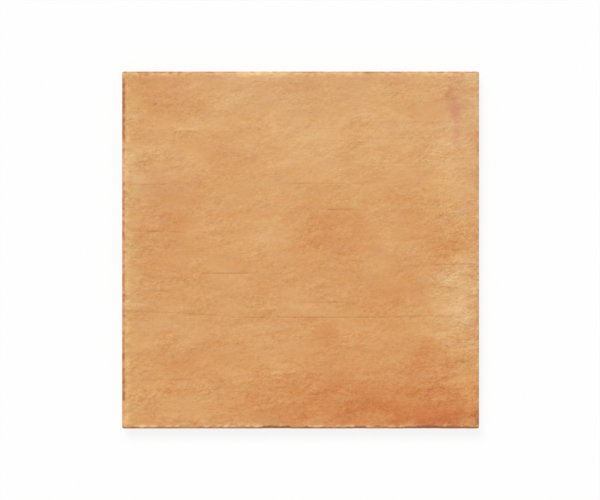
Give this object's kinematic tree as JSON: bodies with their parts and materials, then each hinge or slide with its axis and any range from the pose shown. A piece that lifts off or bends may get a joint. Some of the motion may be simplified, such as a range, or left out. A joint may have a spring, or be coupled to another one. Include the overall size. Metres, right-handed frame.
{
  "type": "ceramic wall tile",
  "caption": "Square, flat wall tile of fired red clay with a matt, mottled terracotta face, softly rolled edges and a ribbed back for adhesive.",
  "frame": {"origin": "middle of the back, on the plane that the rim and the crests of the ribs share", "axes": "+Z from the back to the face; +X and +Y along the sides, +X along the drag lines of the face"},
  "size_m": [0.2, 0.2, 0.008],
  "materials": {
    "fired_clay": "matt fired clay, warm ochre mottled with orange and red, with fine drag lines across the face"
  },
  "bodies": {
    "root": {"tile": "fired_clay"}
  },
  "joints": []
}
